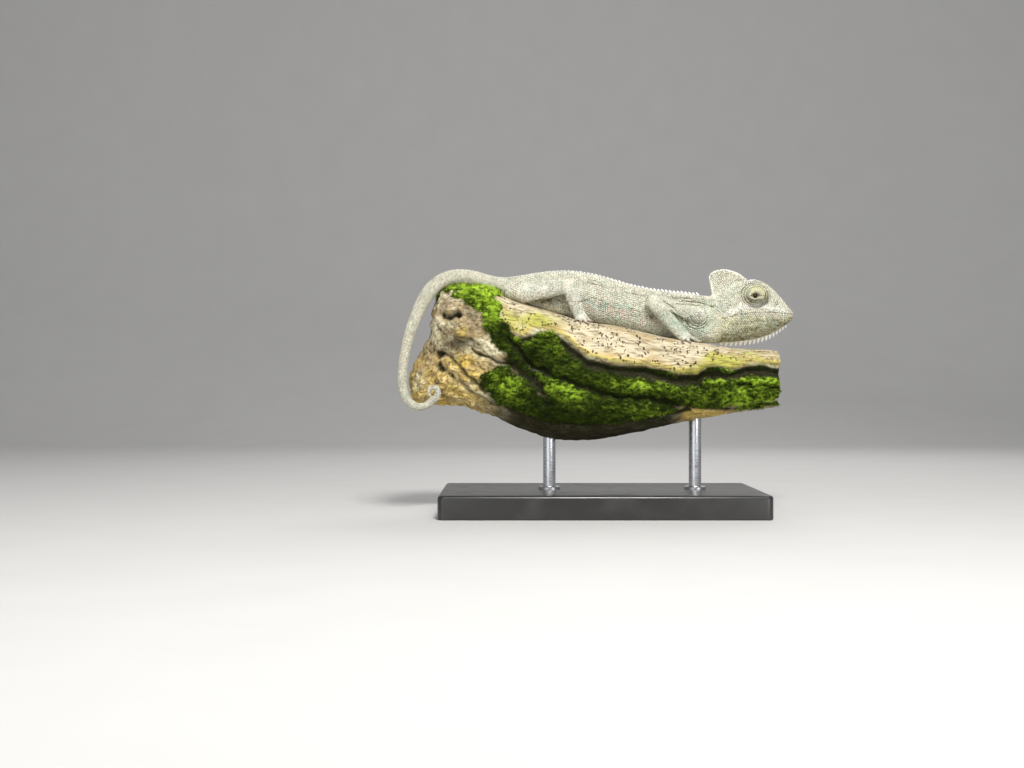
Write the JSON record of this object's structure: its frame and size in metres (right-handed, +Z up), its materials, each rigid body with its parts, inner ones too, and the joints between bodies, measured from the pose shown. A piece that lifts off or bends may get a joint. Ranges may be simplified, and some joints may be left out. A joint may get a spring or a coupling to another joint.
{
  "type": "veiled chameleon",
  "caption": "Life-size young female veiled chameleon lying along a cut length of mossy driftwood, tail hanging in a curl, on a plain display stand.",
  "frame": {"origin": "middle of the underside of the stand's base", "axes": "+X the way the animal faces, +Z up, -Y the animal's right side"},
  "size_m": [0.1865, 0.084, 0.1149],
  "materials": {
    "skin": "pale cream and grey-green granular scales, matt",
    "eye": "dark wet eye",
    "driftwood": "weathered pale wood with moss",
    "stand_lacquer": "satin black lacquer",
    "stand_steel": "brushed steel rod"
  },
  "bodies": {
    "root": {"abdomen": "skin", "casque": "skin", "eye_turret_left": "skin", "eye_turret_right": "skin", "eyeball_left": "eye", "eyeball_right": "eye", "forefoot_left": "skin", "forefoot_right": "skin", "foreleg_lower_left": "skin", "foreleg_lower_right": "skin", "foreleg_upper_left": "skin", "foreleg_upper_right": "skin", "head": "skin", "hindfoot_left": "skin", "hindfoot_right": "skin", "hindleg_lower_left": "skin", "hindleg_lower_right": "skin", "hindleg_upper_left": "skin", "hindleg_upper_right": "skin", "lower_jaw": "skin", "neck": "skin", "pelvis": "skin", "perch": "driftwood", "stand_base": "stand_lacquer", "stand_rod_front": "stand_steel", "stand_rod_rear": "stand_steel", "tail_arch": "skin", "tail_base": "skin", "tail_bend": "skin", "tail_curl": "skin", "tail_hang": "skin", "thorax": "skin"}
  },
  "joints": []
}
